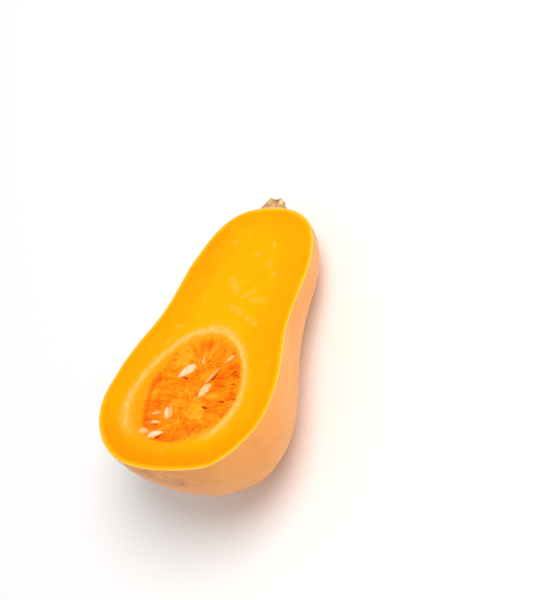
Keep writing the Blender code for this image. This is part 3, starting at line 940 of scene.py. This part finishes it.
def stemFinish():
    # two cork colours in clouds, dark streaks along the stem, a little green, then the darker broken top,
    # the painted shade in the sunk places of the cut, its pale place and the pink foot
    made = Finish("stemCork", 0.78, 0.25)
    tones = stem
    broad = made.noise(170, 4)
    fine = made.noise(900, 6)
    streaks = made.noise(700, 4, (0.15, 1, 1), fruit["grainTilt"])
    base = made.mix(made.span(broad, 0.35, 0.65), colour(*tones["base"]), colour(*tones["light"]))
    base = made.mix(made.span(streaks, 0.52, 0.75, 0, 0.7), base, colour(*tones["pit"]))
    base = made.mix(made.span(made.noise(240, 2), 0.6, 0.7, 0, 0.5), base, colour(*tones["green"]))
    # darker on the broken top, and painted shade where the cut is sunk
    base = made.mix(made.fact("dark"), base, colour(*tones["pit"]))
    base = made.mix(made.fact("pale"), base, colour(*tones["pale"]))
    base = made.mix(made.fact("foot"), base, colour(*tones["footPink"]))
    normal = made.bump(streaks, 0.0008, 0.6)
    normal = made.bump(fine, 0.0005, 0.6, normal)
    return made.done(base, normal)


def stemCork():
    # rings with five lobes and finer ridges, from the flared foot to the broken top with its two horns,
    # then the cut side, which has torn lumps inside its straight edges
    radii, heights = (np.array(values) for values in zip(*stem["rings"]))
    along = np.linspace(0, 1, stem["alongSteps"] + 1)[:, None]
    around = np.linspace(0, math.pi, stem["aroundSteps"] + 1)[None]
    height = heights[-1] * along
    radius = np.interp(height, heights, radii) + 0 * around
    lobed = 1 + stem["lobeShare"] * np.cos(stem["lobes"] * around + 0.4)
    lobed = lobed + stem["ridgeShare"] * cloudNoise(around * 7 + 5, height / 5, 61, 3)
    rim = np.interp(-np.cos(around), stem["topPlaces"], stem["topRises"])
    side = [radius * lobed, height + along**3 * rim]
    sink = np.linspace(1, 0, stem["topSteps"])[:, None]
    topRadius = side[0][-1:] * sink
    topHeight = heights[-1] + np.interp(-np.cos(around) * sink, stem["topPlaces"], stem["topRises"])
    topHeight = topHeight - stem["topHollow"] * (1 - sink**2)
    grain = cloudNoise(topRadius * np.cos(around) / 1.5, topRadius * np.sin(around) / 1.5, 63, 2)
    topHeight = topHeight + 0.3 * grain * (1 - sink)
    foot = np.linspace(0, 1, stem["footSteps"])[:, None]
    radius = np.concatenate([foot * side[0][:1], side[0][1:], topRadius[1:]])
    height = np.concatenate([-0.4 + 0 * foot * around, side[1][1:], topHeight[1:]])
    y = stem["offset"] + stem["lean"] * np.maximum(height, 0) - radius * np.cos(around)
    z = -radius * np.sin(around)
    x = fruit["length"] - fruit["dimple"] + height
    shell = np.stack([x, y, z], axis=-1)
    shell[:, [0, -1], 2] = 0
    across = np.linspace(0, 1, stem["faceSteps"] + 1)[None, :, None]
    face = shell[:, :1] * (1 - across) + shell[:, -1:] * across
    rise = face[..., 0] - shell[0, 0, 0]
    lumps = cloudNoise(face[..., 0] / 2.4, face[..., 1] / 2.4, 64, 2)
    inner = np.sin(math.pi * across[..., 0]) ** 0.6 * step(0.6, 2.4, rise)
    face[..., 2] = -stem["faceLump"] * inner * np.clip(0.55 + 0.45 * lumps, 0, 1.2)
    dark = np.zeros(shell.shape[:2])
    dark[1 - stem["topSteps"]:] = 0.35
    # painted shade on the cut: darker along its sunk middle and where its lumps sink deepest
    middle = np.exp(-(((across[..., 0] - 0.5) / 0.2) ** 2)) * step(3.5, 7.5, rise)
    inside = 1.3 * np.exp(-(((across[..., 0] - 0.5) / 0.32) ** 4))
    pale = 0.75 * np.exp(-(((across[..., 0] - 0.2) / 0.14) ** 2)) * step(2.5, 5.5, rise)
    facts = {
        "dark": [dark, 0.65 * middle + 0.3 * np.clip(lumps, 0, 1) * inner],
        "pale": [np.zeros(shell.shape[:2]), pale],
        "foot": [np.zeros(shell.shape[:2]), np.clip(inside * (1 - step(0.7, 1.5, rise)), 0, 1)],
    }
    sheets = [(lying(shell), False), (lying(face), False)]
    piece = makePiece("stemCork", sheets, stemFinish(), facts, 60)
    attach(piece, "root")
    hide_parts("stem")


stemCork()


# Floor and lights

studio = {
    "floorSize": 3.0,
    "floorSteps": 13,
    "floorDrop": 0.0002,     # metres under the part
    "floorTone": 0.955,
    "worldStrength": 0.54,
    "key": {"place": (0.7, -1.2, 2.4), "size": 1.6, "power": 54},
}


def floorFinish():
    # nearly white, with the faintest grain
    made = Finish("floor", 0.6, 0.1)
    tone = studio["floorTone"]
    darker = tone - 0.005
    grain = made.noise(300, 2)
    shade = (darker, darker, tone - 0.004, 1)
    base = made.mix(made.span(grain, 0.3, 0.7), (tone, tone, tone, 1), shade)
    return made.done(base, made.bump(grain, 0.0001, 0.05))


def makeFloor():
    half = studio["floorSize"] / 2
    across = np.linspace(-half, half, studio["floorSteps"])
    x, y = np.meshgrid(across, across, indexing="ij")
    level = np.stack([x, y, 0 * x - studio["floorDrop"]], axis=-1)
    ground = makePiece("floor", [(level, False)], floorFinish())


def makeLights():
    # one large round lamp aimed at the part, and an even white surround
    values = studio["key"]
    lamp = bpy.data.lights.new("key", "AREA")
    lamp.shape = "DISK"
    lamp.size = values["size"]
    lamp.energy = values["power"]
    light = bpy.data.objects.new("key", lamp)
    light.location = values["place"]
    aim = -light.location.copy()
    light.rotation_euler = aim.to_track_quat("-Z", "Y").to_euler()
    bpy.context.scene.collection.objects.link(light)
    world = bpy.data.worlds.new("studio")
    world.use_nodes = True
    world.node_tree.nodes["Background"].inputs["Color"].default_value = (1, 1, 1, 1)
    world.node_tree.nodes["Background"].inputs["Strength"].default_value = studio["worldStrength"]
    bpy.context.scene.world = world
    bpy.context.scene.view_settings.view_transform = "Standard"


makeFloor()
makeLights()
print("floor and lights placed")
